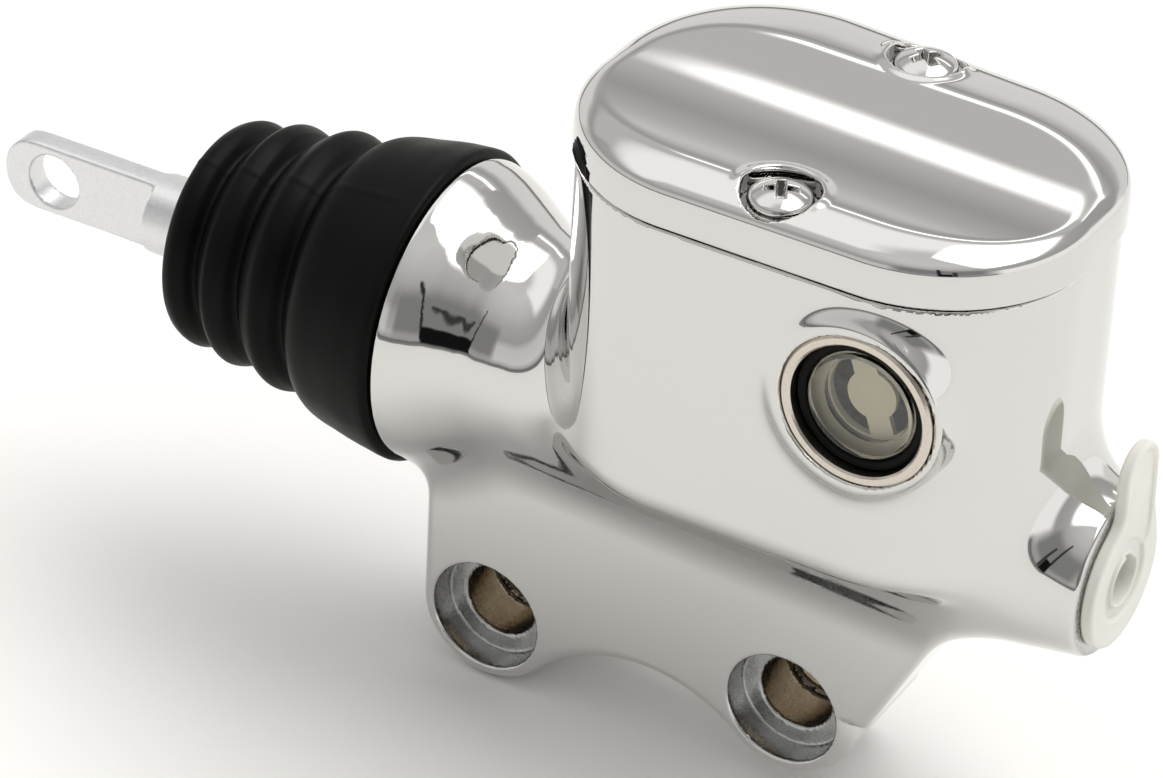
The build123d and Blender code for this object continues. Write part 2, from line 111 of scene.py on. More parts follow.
# ---- the casting's sizes, in millimetres -------------------------------------------------------
BORE_R, BORE_END = 7.94, 50.4
TUB_L, TUB_W, TUB_CORNER = 67.0, 47.6, 20.6
LID_L, LID_W, LID_CORNER = 68.2, 48.4, 21.2
TUB_BOTTOM, TUB_TOP = 35.1, BODY_HIGH[2]
CAVITY_FLOOR, WALL = 49.5, 3.6
POST_HALF, POST_REACH = 5.2, 15.9       # screw posts: half their width, and how near the middle they come
LIP, LIP_W = 0.22, 0.75                 # fine lips that narrow the gap under the cover
PLATE_FRONT = -22.0
EAR_R, ARCH_R, HOLE_R, COUNTERBORE_R, COUNTERBORE_DEPTH = 10.0, 21.5, 5.15, 7.85, 4.2
GLASS_BOSS_R, GLASS_POCKET_R, WINDOW_R = 11.1, 10.26, 6.5
PORTS = ((14.0, 2.0), (31.6, 0.6))      # supply and return port: x and radius
OUTLET_R, PASSAGE_R = 4.95, 1.5


# ---- signed distances, negative inside ---------------------------------------------------------
def join(a, b, k):
    """Union with a concave fillet of about k."""
    h = np.maximum(k - np.abs(a - b), 0) / k
    return np.minimum(a, b) - h * h * k / 4


def cut(a, b, k):
    """a without b, its new edges rounded by about k."""
    return -join(-a, b, k)


def both(a, b, k):
    """What a and b share, its edges rounded by about k."""
    return -join(-a, -b, k)


def slab(d, along, low, high, edge=0.0):
    """Outline distance d extruded from low to high, with its edges rounded."""
    w = np.abs(along - (low + high) / 2) - (high - low) / 2 + edge
    d = d + edge
    return np.minimum(np.maximum(d, w), 0) + np.hypot(np.maximum(d, 0), np.maximum(w, 0)) - edge


def rounded(u, v, length, width, corner):
    """Rounded rectangle about the origin."""
    p, q = np.abs(u) - length / 2 + corner, np.abs(v) - width / 2 + corner
    return np.minimum(np.maximum(p, q), 0) + np.hypot(np.maximum(p, 0), np.maximum(q, 0)) - corner


def turned(x, rho, points):
    """Outside distance of a turned shape whose radius eases from point to point along x."""
    xs, rs = np.array(points, float).T
    fine = np.linspace(xs[0], xs[-1], 400)
    eased = ease(fine, xs, rs)
    r = np.interp(x, fine, eased)
    slope = np.interp(x, fine, np.gradient(eased, fine))
    return (rho - r) / np.sqrt(1 + slope * slope)


def ease(x, xs, ys):
    """Smooth curve through points that never overshoots them (monotone cubic)."""
    h = np.diff(xs)
    d = np.diff(ys) / h
    m = np.zeros(len(xs))
    same = d[:-1] * d[1:] > 0
    w1, w2 = 2 * h[1:] + h[:-1], h[1:] + 2 * h[:-1]
    inner = np.zeros(len(d) - 1)
    inner[same] = (w1 + w2)[same] / (w1[same] / d[:-1][same] + w2[same] / d[1:][same])
    m[1:-1], m[0], m[-1] = inner, d[0], d[-1]
    i = np.clip(np.searchsorted(xs, x) - 1, 0, len(h) - 1)
    t = (x - xs[i]) / h[i]
    a, b = ys[i], ys[i + 1]
    return (a * (1 + 2 * t) * (1 - t) ** 2 + b * t * t * (3 - 2 * t)
            + h[i] * (m[i] * t * (1 - t) ** 2 - m[i + 1] * t * t * (1 - t)))


# ---- meshing -----------------------------------------------------------------------------------
CORNERS = [(i, j, k) for i in (0, 1) for j in (0, 1) for k in (0, 1)]
EDGES = [(a, b) for a in range(8) for b in range(a + 1, 8)
         if sum(p != q for p, q in zip(CORNERS[a], CORNERS[b])) == 1]


def gradient(field, p, h=0.02):
    """Direction of steepest rise of a field at points p."""
    g = np.empty_like(p)
    for axis in range(3):
        step = np.zeros(3)
        step[axis] = h
        g[:, axis] = (field(*(p + step).T) - field(*(p - step).T)) / (2 * h)
    return g


def mesh_of(name, field, low, high, step):
    """Meshes a field by surface nets, then moves each vertex onto the exact surface."""
    low, high = np.array(low) - 2.5 * step, np.array(high) + 2.5 * step
    axes = [np.arange(a, b + step, step) for a, b in zip(low, high)]
    values = np.empty([len(a) for a in axes], np.float32)
    for i, x in enumerate(axes[0]):
        values[i] = field(np.full((1, 1), x), axes[1][:, None], axes[2][None, :])
    inside = values < 0
    cell = [slice(0, -1), slice(1, None)]
    parts = [inside[cell[i], cell[j], cell[k]] for i, j, k in CORNERS]
    count = sum(p.astype(np.int8) for p in parts)
    active = np.argwhere((count > 0) & (count < 8))
    corner = [values[tuple((active + c).T)] for c in CORNERS]
    total, hits = np.zeros((len(active), 3)), np.zeros(len(active))
    for a, b in EDGES:
        va, vb = corner[a], corner[b]
        crossed = (va < 0) != (vb < 0)
        t = np.where(crossed, va / np.where(crossed, va - vb, 1), 0)[:, None]
        point = np.array(CORNERS[a]) * (1 - t) + np.array(CORNERS[b]) * t
        total += point * crossed[:, None]
        hits += crossed
    verts = low + (active + total / hits[:, None]) * step
    for _ in range(4):
        g = gradient(field, verts)
        move = field(*verts.T)[:, None] * g / np.maximum((g * g).sum(1), 0.2)[:, None]
        verts -= np.clip(move, -0.5 * step, 0.5 * step)
    number = np.full(count.shape, -1, np.int64)
    number[tuple(active.T)] = np.arange(len(active))
    quads = []
    for axis in range(3):
        u, v = (axis + 1) % 3, (axis + 2) % 3
        first = [slice(None)] * 3
        second = [slice(None)] * 3
        first[axis], second[axis] = slice(0, -1), slice(1, None)
        edge = np.argwhere(inside[tuple(first)] != inside[tuple(second)])
        rising = inside[tuple(edge.T)]
        du, dv = np.eye(3, dtype=int)[u], np.eye(3, dtype=int)[v]
        ring = np.stack([number[tuple((edge - s).T)] for s in (0 * du, du, du + dv, dv)], 1)
        ring[~rising] = ring[~rising][:, ::-1]
        quads.append(ring)
    quads = np.concatenate(quads)
    normals = gradient(field, verts)
    normals /= np.maximum(np.linalg.norm(normals, axis=1), 1e-9)[:, None]
    return piece(name, verts, quads, normals)


def piece(name, verts, faces, normals=None):
    """Blender object from millimetre vertices, smooth shaded."""
    mesh = bpy.data.meshes.new(name)
    if isinstance(faces, np.ndarray):
        faces = faces.tolist()
    mesh.from_pydata((np.asarray(verts) * MM).tolist(), [], faces)
    mesh.polygons.foreach_set("use_smooth", [True] * len(mesh.polygons))
    if normals is not None:
        mesh.normals_split_custom_set_from_vertices(normals.tolist())
    mesh.update()
    obj = bpy.data.objects.new(name, mesh)
    bpy.context.scene.collection.objects.link(obj)
    return obj


def lathe(name, profile, shape, turns=240):
    """Closed (x, radius) profile turned about the bore, with each point then placed by shape."""
    profile = np.array(profile, float)
    n = len(profile)
    a = np.linspace(0, 2 * math.pi, turns, endpoint=False)[:, None]
    x, r = (np.repeat(profile[None, :, c], turns, 0) for c in (0, 1))
    x, r, lift = shape(x, r, a)
    verts = np.stack([x, BORE_Y + r * np.sin(a), BORE_Z + lift + r * np.cos(a)], -1).reshape(-1, 3)
    i, j = np.meshgrid(np.arange(turns), np.arange(n), indexing="ij")
    i, j = i.ravel(), j.ravel()
    i2, j2 = (i + 1) % turns, (j + 1) % n
    faces = np.stack([i * n + j, i * n + j2, i2 * n + j2, i2 * n + j], 1)
    return piece(name, verts, faces)


# ---- body: reservoir tub, cylinder housing and mounting plate in one casting -------------------
TILT = math.atan2(HOLES[1][1] - HOLES[0][1], HOLES[1][0] - HOLES[0][0])
HALF_SPACING = math.hypot(HOLES[1][0] - HOLES[0][0], HOLES[1][1] - HOLES[0][1]) / 2
ARCH_DROP = math.sqrt((ARCH_R + EAR_R) ** 2 - HALF_SPACING ** 2)
SLANT = math.radians(63.5)
SPIGOT_R, BELL_X, OUTLET_X = 17.4, -33.6, BODY_HIGH[0]
HOUSING = [(BELL_X - 1, 20.4), (BELL_X, 20.4), (-31.4, 20.0), (-29.0, 19.1), (-26.4, 17.7), (-24.0, 16.3),
           (-21.6, 15.0), (-18.6, 14.2), (-14.0, 14.0), (36.0, 14.0), (45.0, 13.9), (53.0, 12.5),
           (OUTLET_X + 1, 10.75)]
LEAN = 0.0335                   # the barrel's outside leans this much against the cover
MOUTH_R, MOUTH_END, BORE_START = 11.0, -15.7, -20.0
GROOVE_R, GROOVE = 12.1, (-18.8, -17.4)     # snap ring's groove
OUTLET_FLOOR = 53.0


def axis_z(x):
    """Height of the barrel's outer axis, which drops a little towards the outlet."""
    return BORE_Z + 0.15 - LEAN * x


def beside(x, z, a, b):
    """Distance to the right of the line from a to b."""
    dx, dz = b[0] - a[0], b[1] - a[1]
    return (dz * (x - a[0]) - dx * (z - a[1])) / math.hypot(dx, dz)


def plate_outline(x, z):
    """Two ears, an arch tangent to both and a right edge that slants."""
    (lx, lz), (rx, rz) = HOLES
    ears = np.minimum(np.hypot(x - lx, z - lz), np.hypot(x - rx, z - rz)) - EAR_R
    hub = (ARCH_DROP * math.sin(TILT), -ARCH_DROP * math.cos(TILT))
    above = beside(x, z, HOLES[0], HOLES[1])
    slant = (x - rx) * math.sin(SLANT) - (z - rz) * math.cos(SLANT) - EAR_R
    web = np.maximum(np.maximum(above, slant), np.maximum(lx - EAR_R - x, z - 34.0))
    web = np.maximum(web, x - 49.0)
    wedge = np.maximum(np.maximum(beside(x, z, HOLES[0], hub), beside(x, z, hub, HOLES[1])), -above - 6.0)
    arch = np.hypot(x - hub[0], z - hub[1]) - ARCH_R
    return cut(np.minimum(np.minimum(ears, web), wedge - 0.02), arch, 0.2)


def taper(u, v):
    """Stretches v so that the tub's and the lid's back half narrows towards the outlet, the front less."""
    return v / (1 - np.where(v > 0, 0.076, 0.02) * np.clip(u / 33, -1.2, 1.2))


def edge_lip(outline):
    """Height of the fine lip along an outline's edge."""
    return LIP * np.clip((outline + LIP_W) / 0.15, 0, 1)


def body_outside(x, y, z):
    """The casting's outer skin, with its polished fillets."""
    lean = np.hypot(y - BORE_Y, z - axis_z(x))
    tub = rounded(x - TUB_X, taper(x - TUB_X, y - TUB_Y), TUB_L, TUB_W, TUB_CORNER)
    rim = z - TUB_TOP - edge_lip(tub)
    tub = both(slab(tub, z, TUB_BOTTOM, TUB_TOP + 20, 5.0), rim, 0.5)
    boss = slab(np.hypot(x - GLASS_X, z - GLASS_Z) - GLASS_BOSS_R, y, GLASS_FRONT + 0.55, BORE_Y, 0.5)
    housing = slab(turned(x, lean, HOUSING), x, BELL_X, OUTLET_X, 0.7)
    d = join(join(tub, boss, 4.5), housing, 7.0)
    plate = slab(plate_outline(x, z), y, PLATE_FRONT, 0.0, 1.9)
    d = join(d, both(plate, y, 0.5), 6.0)
    d = np.maximum(d, np.where(z < 30, y, -1e3))            # one flat back up to the barrel
    return np.minimum(d, slab(lean - SPIGOT_R, x, BODY_LOW[0], BELL_X + 4, 0.6))


def reservoir(x, y, z):
    """Hollow of the tub, around the two screw posts."""
    cavity = rounded(x - TUB_X, y - TUB_Y, TUB_L - 2 * WALL, TUB_W - 2 * WALL, TUB_CORNER - WALL)
    post = np.maximum(np.abs(x - TUB_X) - POST_HALF, POST_REACH - np.abs(y - TUB_Y))
    return cut(slab(cavity, z, CAVITY_FLOOR, TUB_TOP + 20, 2.0), post, 2.0)


def bore(x, y, z):
    """Bore, wide mouth and its flare, snap ring's groove, passage and outlet port."""
    rho = np.hypot(y - BORE_Y, z - BORE_Z)
    flare = turned(x, rho, [(-42.0, 14.0), (-27.0, MOUTH_R)])
    hollow = slab(rho - BORE_R, x, BORE_START, BORE_END)
    hollow = np.minimum(hollow, slab(rho - MOUTH_R, x, BODY_LOW[0] - 5, MOUTH_END))
    hollow = np.minimum(hollow, slab(flare, x, -45.0, -27.0))
    hollow = np.minimum(hollow, slab(rho - GROOVE_R, x, *GROOVE))
    hollow = np.minimum(hollow, slab(rho - PASSAGE_R, x, BORE_END - 1.4, OUTLET_FLOOR + 1))
    port = slab(np.hypot(y - BORE_Y, z - axis_z(x)) - OUTLET_R, x, OUTLET_FLOOR, OUTLET_X + 5)
    return np.minimum(hollow, port)


def body_field(x, y, z):
    d = cut(body_outside(x, y, z), reservoir(x, y, z), 0.6)
    for sy in SCREW_YS:
        hole = np.hypot(x - TUB_X, y - sy) - SCREW_R - 0.08
        d = cut(d, slab(hole, z, TUB_TOP - SCREW_HOLE_DEPTH, TUB_TOP + 5), 0.3)
    d = cut(d, bore(x, y, z), 0.5)
    for port_x, port_r in PORTS:
        d = cut(d, slab(np.hypot(x - port_x, y - BORE_Y) - port_r, z, BORE_Z, CAVITY_FLOOR + 1), 0.2)
    # counterbored mounting holes, with a groove at the sleeve's end
    for hx, hz in HOLES:
        h = np.hypot(x - hx, z - hz)
        d = cut(d, slab(h - COUNTERBORE_R, y, PLATE_FRONT - 5, PLATE_FRONT + COUNTERBORE_DEPTH, 0.3), 0.45)
        d = cut(d, slab(h - HOLE_R, y, PLATE_FRONT - 5, 5.0), 0.35)
        d = cut(d, slab(h - HOLE_R - 0.5, y, SLEEVE_LOW[1] - 1.1, SLEEVE_LOW[1], 0.2), 0.4)
    # sight-glass pocket and window
    g = np.hypot(x - GLASS_X, z - GLASS_Z)
    d = cut(d, slab(g - GLASS_POCKET_R, y, GLASS_FRONT - 3, GLASS_BACK), 0.3)
    return cut(d, slab(g - WINDOW_R, y, GLASS_BACK - 1, GLASS_BACK + 6), 0.3)


# ---- cover: rolled rim, cut by a long shallow trough -------------------------------------------
POCKET_R, POCKET_FLOOR = 4.9, LID_LOW[2] + 4.4      # pockets that the screw heads lie in
BAND = 3.8                      # upright part of the rim
ROLL_FRONT, ROLL_BACK = 7.4, 14.5   # how far in the rim's roll reaches
TROUGH_R, TROUGH_Y, TROUGH_DEPTH = 122.0, -3.0, 1.0
UNDER_L, UNDER_W, UNDER_CORNER, UNDER_DEPTH = 55.0, 36.4, 15.0, 3


def cover_field(x, y, z):
    u, v = x - TUB_X, y - TUB_Y
    outline = rounded(u, taper(u, v), LID_L, LID_W, LID_CORNER)
    rise = LID_HIGH[2] - LID_LOW[2] - BAND
    back = np.clip((v + 8) / 18, 0, 1)
    ends = np.clip((np.abs(u) - 12) / 22, 0, 1)
    roll = ROLL_FRONT + (ROLL_BACK - ROLL_FRONT) * back * back * (3 - 2 * back) * (1 - 0.45 * ends ** 2)
    inset = np.clip(-outline / roll, -0.6, 1)
    arc = np.sqrt(np.clip(1 - (1 - inset) ** 2, 0.0, 1))
    pillow = LID_HIGH[2] - rise + rise * arc - 40 * np.clip(-inset, 0, 1)
    steep = np.clip(rise / roll * (1 - inset) / np.maximum(arc, 0.15), 0, 4)
    top = (z - pillow) / np.sqrt(1 + steep ** 2)
    trough = LID_HIGH[2] - TROUGH_DEPTH + (v - TROUGH_Y) ** 2 / (2 * TROUGH_R)
    shell = both(both(outline, top, 0.8), LID_LOW[2] - edge_lip(outline) - z, 0.45)
    shell = both(shell, z - trough, 0.35)
    for sy in SCREW_YS:
        s = np.hypot(u, y - sy)
        lip = slab(s - POCKET_R - 0.6, z, POCKET_FLOOR - 1, LID_HIGH[2] - 0.35, 0.4)
        shell = join(shell, both(lip, outline + 4.2, 1.5), 1.3)
        shell = cut(shell, slab(s - POCKET_R, z, POCKET_FLOOR, LID_HIGH[2] + 5, 0.2), 0.4)
        shell = cut(shell, slab(s - SCREW_R - 0.33, z, LID_LOW[2] - 5, LID_HIGH[2]), 0.3)
    under = rounded(u, v, UNDER_L, UNDER_W, UNDER_CORNER)
    for sy in SCREW_YS:
        under = cut(under, np.maximum(np.abs(u) - 6.2, np.abs(y - sy) - 6.2), 1.0)
    return cut(shell, slab(under, z, LID_LOW[2] - 5, LID_LOW[2] + UNDER_DEPTH, 0.8), 0.6)


# ---- pan-head screw with a cross recess --------------------------------------------------------
DOME_R = 8.0
RECESS_HALF_L, RECESS_HALF_W, RECESS_DEPTH = 2.35, 0.62, 2.0


def screw_field(sy, turn):
    """Field of the screw at y = sy, its cross turned by an angle."""
    def field(x, y, z):
        u, v = x - TUB_X, y - sy
        s = np.hypot(u, v)
        low = POCKET_FLOOR + 0.02
        dome = np.sqrt(s * s + (z - SCREW_TOP + DOME_R) ** 2) - DOME_R
        head = both(slab(s - SCREW_HEAD_R, z, low, SCREW_TOP + 5, 0.25), dome, 0.6)
        shank = slab(s - SCREW_R, z, SCREW_LOW[2], low + 0.5, 0.3)
        d = np.minimum(head, shank)
        c, n = math.cos(turn), math.sin(turn)
        depth = SCREW_TOP - z
        for p, q in ((u * c + v * n, -u * n + v * c), (-u * n + v * c, u * c + v * n)):
            end, side = np.abs(p) - RECESS_HALF_L + depth * 0.75, np.abs(q) - RECESS_HALF_W + depth * 0.10
            d = cut(d, np.maximum(np.maximum(end, side), depth - RECESS_DEPTH), 0.16)
        return d
    return field


# ---- push rod ----------------------------------------------------------------------------------
EYE_X, EYE_R, ROD_R, BAR_T = -95.1, 3.97, 5.5, 3.6
FLAT_X, CUTTER_R = -79.9, 1.4   # where the milled flats end, and the cutter that leaves their shoulder
SHANK_X, SHANK_R = -41.0, 5.0   # where the rod steps down inside the boot
FLANGE_X, FLANGE_T, FLANGE_R = -15.5, 1.2, 6.8
NECK_R, BALL_X, BALL_R = 3.6, -11.2, 4.6


def rod_field(x, y, z):
    """Flat bar with a round end and an eye, round rod, flange and ball; it droops a little to the eye."""
    v, w = y - BORE_Y, z - BORE_Z - 0.5 - 0.016 * (x - BALL_X)
    rho = np.hypot(v, w)
    tip = ROD_LOW[0] + ROD_R + 0.2
    round_end = np.hypot(np.minimum(x - tip, 0), w) - ROD_R
    d = both(slab(rho - ROD_R, x, ROD_LOW[0], SHANK_X, 0.6), round_end, 0.9)
    fade = CUTTER_R - np.sqrt(np.clip(CUTTER_R ** 2 - np.clip(x - FLAT_X, 0, CUTTER_R) ** 2, 0, None))
    flat = (np.abs(v) - BAR_T / 2 - fade) * np.where(x > FLAT_X, 0.75, 1.0)
    d = both(d, np.where(x > FLAT_X + CUTTER_R, -5.0, flat), 0.45)
    d = np.minimum(d, slab(rho - SHANK_R, x, SHANK_X - 1, FLANGE_X, 0.3))
    d = np.minimum(d, slab(rho - FLANGE_R, x, FLANGE_X, FLANGE_X + FLANGE_T, 0.15))
    d = np.minimum(d, slab(rho - NECK_R, x, FLANGE_X + 0.5, BALL_X + 0.2))
    d = np.minimum(d, np.sqrt(rho ** 2 + (x - BALL_X) ** 2) - BALL_R)
    return cut(d, slab(np.hypot(x - EYE_X, w) - EYE_R, v, -9, 9), 0.35)


# ---- shipping plug -----------------------------------------------------------------------------
DISC_R, TAB_R, TAB_HALF, STEM_R, STEM_HOLLOW_R = 9.0, 4.4, 4.6, 4.85, 3.2


def plug_field(x, y, z):
    """Disc with a pull tab and a moulded ring, on a hollow stem in the outlet."""
    v, w = y - BORE_Y + 0.5, z - axis_z(OUTLET_X)
    rho = np.hypot(v, w)
    back, front = OUTLET_X + 0.05, PLUG_HIGH[0]
    reach = PLUG_HIGH[2] - axis_z(OUTLET_X)
    side = v - 2.5 + 0.06 * (w - 8)
    tab = np.hypot(side, np.maximum(np.abs(w - reach + TAB_R + TAB_HALF) - TAB_HALF, 0)) - TAB_R
    disc = join(rho - DISC_R, tab, 2.5)
    thick = slab(disc, x, back, front, 0.45)
    thick = cut(thick, slab(tab + 1.1, x, front - 0.4, front + 5, 0.2), 0.5)
    thick = cut(thick, slab(np.abs(rho - 4.5) - 0.8, x, front - 0.6, front + 5, 0.2), 0.4)
    stem = slab(rho - STEM_R, x, PLUG_LOW[0], back + 0.6, 0.5)
    hollow = slab(rho - STEM_HOLLOW_R, x, PLUG_LOW[0] + 1.5, front + 5, 0.5)
    return cut(join(thick, stem, 0.6), hollow, 0.4)


# ---- boot: bellows of three folds with a collar ------------------------------------------------
def boot_profile():
    """Closed (x, radius) loop: outside from tip to collar, then the inside back."""
    tip, rim = BOOT_LOW[0], BELL_X - 0.02
    outside = [(tip + 0.45, 12.2), (-69.2, 14.0), (-68.4, 15.1), (-67.2, 15.5), (-65.8, 15.0), (-64.4, 13.6),
               (-63.1, 15.0), (-61.2, 16.5), (-59.2, 15.9), (-57.5, 14.4), (-55.6, 16.4), (-53.2, 17.7),
               (-51.2, 17.0), (-49.6, 15.8), (-48.3, 17.2), (-46.9, 18.8), (-45.4, 19.5), (-42.0, 20.2),
               (-38.5, 20.85), (-35.4, 21.25)]
    xs, rs = np.array(outside).T
    fine = np.linspace(xs[0], xs[-1], 170)
    out = [(tip, ROD_R + 0.1), (tip, 6.6), (tip, 8.5), (tip + 0.02, 10.4), (tip + 0.15, 11.5)]
    out += list(zip(fine, ease(fine, xs, rs)))
    corner = [(-34.6 + 0.9 * math.sin(t), 20.4 + 0.9 * math.cos(t)) for t in np.linspace(0.1, 1.4, 7)]
    back = [(rim, 19.6), (rim, SPIGOT_R + 0.02), (-40.2, SPIGOT_R + 0.02), (-40.2, SPIGOT_R - 1.4)]
    inner_x = np.linspace(-46.5, -67.4, 80)
    inner_r = ease(inner_x, xs, rs) - 1.5
    inside = list(zip(inner_x, inner_r)) + [(-68.2, 12.4), (-68.6, 10.5), (-68.6, ROD_R + 0.1)]
    return out + corner + back + inside


def boot_shape(x, r, a):
    """Where a profile point goes at one angle: seams, slack in the folds, and the boot's slight droop."""
    from_seams = [np.angle(np.exp(1j * (a - s))) for s in (2.75, 2.75 + math.pi)]
    seam = sum(0.15 * np.exp(-(off * r / 0.3) ** 2) for off in from_seams)
    fold = 0.06 * np.sin(3 * a + x * 0.21) + 0.05 * np.sin(5 * a - x * 0.33)
    outside = np.clip((r - 7.5) / 3, 0, 1) * np.clip((-36.0 - x) / 2, 0, 1)
    droop = np.interp(x, [-70.0, -67.0, -61.0, -53.0, -45.0], [0.0, 0.2, 0.6, 1.0, 1.25])
    slip = -0.035 * r * np.cos(a) * np.clip((-45 - x) / 6, 0, 1) * np.clip((r - 7.5) / 3, 0, 1)
    return x + slip, r + (seam + fold) * outside, droop


# ---- return spring -----------------------------------------------------------------------------
def spring_mesh():
    """Wire helix with closed ends, along the bore."""
    wire, coil_r, turns, sides = 0.55, 5.5, 6.0, 12
    n = 360
    t = np.linspace(0, turns, n)
    length = SPRING_HIGH[0] - SPRING_LOW[0] - 2 * wire
    share = ease(t, np.array([0, 0.9, turns - 0.9, turns]), np.array([0, 0.06, 0.94, 1.0]))
    x = SPRING_LOW[0] + wire + share * length
    a = 2 * math.pi * t
    verts, faces = [], []
    for i in range(n):
        out = np.array([0, math.cos(a[i]), math.sin(a[i])])
        for s in range(sides):
            b = 2 * math.pi * s / sides
            verts.append([x[i] + wire * math.sin(b), BORE_Y, BORE_Z] + out * (coil_r + wire * math.cos(b)))
    for i in range(n - 1):
        for s in range(sides):
            p, q = i * sides + s, i * sides + (s + 1) % sides
            faces.append((p, q, q + sides, p + sides))
    faces += [tuple(range(sides))[::-1], tuple(range((n - 1) * sides, n * sides))]
    return piece("return_spring_coil", verts, faces)


# ---- materials ---------------------------------------------------------------------------------
def material(name):
    """New node material, with its tree and its shader."""
    m = bpy.data.materials.new(name)
    m.use_nodes = True
    return m, m.node_tree, m.node_tree.nodes["Principled BSDF"]


def add(tree, kind, **values):
    """New node, with its inputs or properties set by name."""
    node = tree.nodes.new(kind)
    for key, value in values.items():
        if key in node.inputs:
            node.inputs[key].default_value = value
        else:
            setattr(node, key.lower(), value)
    return node


def calc(tree, operation, *values):
    """Math node on numbers or outputs."""
    node = add(tree, "ShaderNodeMath", operation=operation)
    for socket, value in zip(node.inputs, values):
        if isinstance(value, (int, float)):
            socket.default_value = value
        else:
            tree.links.new(value, socket)
    return node.outputs[0]


def place(tree):
    """Object position in millimetres, which no view changes."""
    where = add(tree, "ShaderNodeTexCoord")
    size = add(tree, "ShaderNodeVectorMath", operation="SCALE")
    size.inputs["Scale"].default_value = 1 / MM
    tree.links.new(where.outputs["Object"], size.inputs[0])
    return size.outputs[0]


def noise(tree, scale, detail=3.0, roughness=0.5):
    """Noise with features about 1/scale millimetres across."""
    n = add(tree, "ShaderNodeTexNoise", Scale=scale, Detail=detail, Roughness=roughness)
    tree.links.new(place(tree), n.inputs["Vector"])
    return n.outputs["Fac"]


def spread(tree, value, low, high, out_low, out_high):
    """Value from low to high, mapped onto out_low to out_high and held there beyond."""
    r = add(tree, "ShaderNodeMapRange")
    for key, number in (("From Min", low), ("From Max", high), ("To Min", out_low), ("To Max", out_high)):
        r.inputs[key].default_value = number
    tree.links.new(value, r.inputs["Value"])
    return r.outputs["Result"]


def bumped(tree, shader, height, strength, distance_mm):
    """Lets a height, whose full step is distance_mm, move the shader's normal."""
    b = add(tree, "ShaderNodeBump", Strength=strength, Distance=distance_mm * MM)
    tree.links.new(height, b.inputs["Height"])
    tree.links.new(b.outputs["Normal"], shader.inputs["Normal"])


def mixed(tree, factor, under, over):
    """Colour or value that turns from under to over, each a colour or an output, as factor rises."""
    mix = add(tree, "ShaderNodeMix", data_type="RGBA")
    tree.links.new(factor, mix.inputs[0])
    for socket, end in ((mix.inputs[6], under), (mix.inputs[7], over)):
        if isinstance(end, bpy.types.NodeSocket):
            tree.links.new(end, socket)
        else:
            socket.default_value = (*end, 1)
    return mix.outputs[2]


def chrome(name, tint=(0.655, 0.65, 0.638)):
    """Polished plating with faint smudges."""
    m, tree, s = material(name)
    s.inputs["Metallic"].default_value = 1.0
    smudge = noise(tree, 0.06, 4.0)
    tree.links.new(spread(tree, smudge, 0.35, 0.7, 0.025, 0.06), s.inputs["Roughness"])
    tree.links.new(mixed(tree, smudge, [c * 0.985 for c in tint], tint), s.inputs["Base Color"])
    bumped(tree, s, noise(tree, 0.09, 1.0), 0.05, 0.12)
    return m


def machined(tree, parts):
    """How much each place was cut: counterbores and outlet face, and the mounting holes' walls."""
    flat = add(tree, "ShaderNodeCombineXYZ")
    tree.links.new(parts.outputs["X"], flat.inputs["X"])
    tree.links.new(parts.outputs["Z"], flat.inputs["Z"])
    near = []
    for hx, hz in HOLES:
        d = add(tree, "ShaderNodeVectorMath", operation="DISTANCE")
        tree.links.new(flat.outputs[0], d.inputs[0])
        d.inputs[1].default_value = (hx, 0, hz)
        near.append(d.outputs["Value"])
    nearest = calc(tree, "MINIMUM", *near)
    bores = spread(tree, nearest, COUNTERBORE_R + 0.12, COUNTERBORE_R + 0.02, 0, 1)
    face = spread(tree, parts.outputs["X"], OUTLET_X - 0.25, OUTLET_X - 0.1, 0, 1)
    wall = spread(tree, nearest, HOLE_R + 0.75, HOLE_R + 0.25, 0, 1)
    step = PLATE_FRONT + COUNTERBORE_DEPTH
    behind = spread(tree, parts.outputs["Y"], step + 0.1, step + 0.4, 0, 1)
    return calc(tree, "MAXIMUM", bores, face), calc(tree, "MULTIPLY", wall, behind)


def casting(name):
    """Chrome, with brushed grey where the plated casting was machined afterwards."""
    m = chrome(name)
    tree = m.node_tree
    s = tree.nodes["Principled BSDF"]
    parts = add(tree, "ShaderNodeSeparateXYZ")
    tree.links.new(place(tree), parts.inputs[0])
    cut_zone, hole_zone = machined(tree, parts)
    marks = noise(tree, 0.9, 5.0, 0.7)
    grey = mixed(tree, marks, (0.34, 0.34, 0.345), (0.66, 0.66, 0.65))
    brown = mixed(tree, marks, (0.2, 0.165, 0.125), (0.5, 0.45, 0.38))
    plated = s.inputs["Base Color"].links[0].from_socket
    rough = s.inputs["Roughness"].links[0].from_socket
    colour = mixed(tree, hole_zone, mixed(tree, cut_zone, plated, grey), brown)
    tree.links.new(colour, s.inputs["Base Color"])
    scuffed = spread(tree, marks, 0.3, 0.7, 0.16, 0.36)
    tree.links.new(mixed(tree, cut_zone, rough, scuffed), s.inputs["Roughness"])
    return m


def metal(name, dark, light, rough, grain=1.4, bump=0.2, metallic=1.0):
    """Plain, tumbled or machined metal with a fine grain."""
    m, tree, s = material(name)
    s.inputs["Metallic"].default_value = metallic
    n = noise(tree, grain, 6.0, 0.65)
    tree.links.new(mixed(tree, n, dark, light), s.inputs["Base Color"])
    tree.links.new(spread(tree, n, 0.3, 0.7, rough * 0.85, rough * 1.2), s.inputs["Roughness"])
    bumped(tree, s, n, bump, 0.05)
    return m


